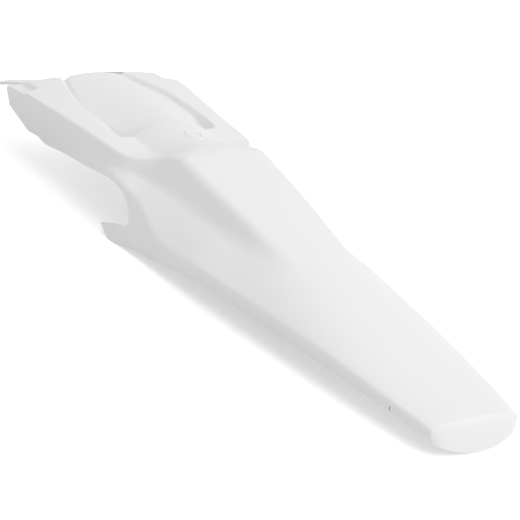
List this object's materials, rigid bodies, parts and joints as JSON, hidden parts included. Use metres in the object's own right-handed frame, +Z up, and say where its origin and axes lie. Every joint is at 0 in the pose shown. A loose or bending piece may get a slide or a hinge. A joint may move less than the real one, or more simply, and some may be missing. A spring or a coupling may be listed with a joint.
{
  "type": "motorcycle rear fender",
  "caption": "Moulded white plastic rear fender for an off-road motorcycle, with a seat zone, side hooks and a long tail.",
  "frame": {"origin": "on the ground under the middle of the part, between its rear end and the tips of its front tongues", "axes": "+X to the rider's right, +Y towards the front of the motorcycle, +Z up"},
  "size_m": [0.216, 0.665, 0.099],
  "materials": {
    "white_plastic": "smooth moulded plastic with a soft sheen"
  },
  "bodies": {
    "root": {"rear_fender": "white_plastic"}
  },
  "joints": []
}
